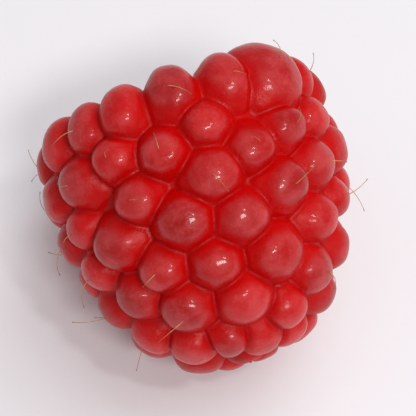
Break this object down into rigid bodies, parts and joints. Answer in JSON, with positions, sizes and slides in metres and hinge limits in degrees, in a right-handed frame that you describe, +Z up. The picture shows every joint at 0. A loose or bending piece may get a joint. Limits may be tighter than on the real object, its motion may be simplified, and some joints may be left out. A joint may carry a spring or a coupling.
{
  "type": "raspberry",
  "caption": "Ripe red raspberry lying on its side: rounded drupelets joined into a thick-walled cup that is hollow where the fruit slipped off its core.",
  "frame": {"origin": "on the surface that the fruit lies on, under the middle of its box", "axes": "+Y level from the tip towards the open mouth, +X to the side, +Z up"},
  "size_m": [0.0212, 0.0214, 0.02],
  "materials": {
    "flesh": "soft satin skin with a dry bloom, deep red, a little translucent",
    "style": "dry golden-brown hairs"
  },
  "bodies": {
    "root": {"raspberry": "flesh"}
  },
  "joints": []
}
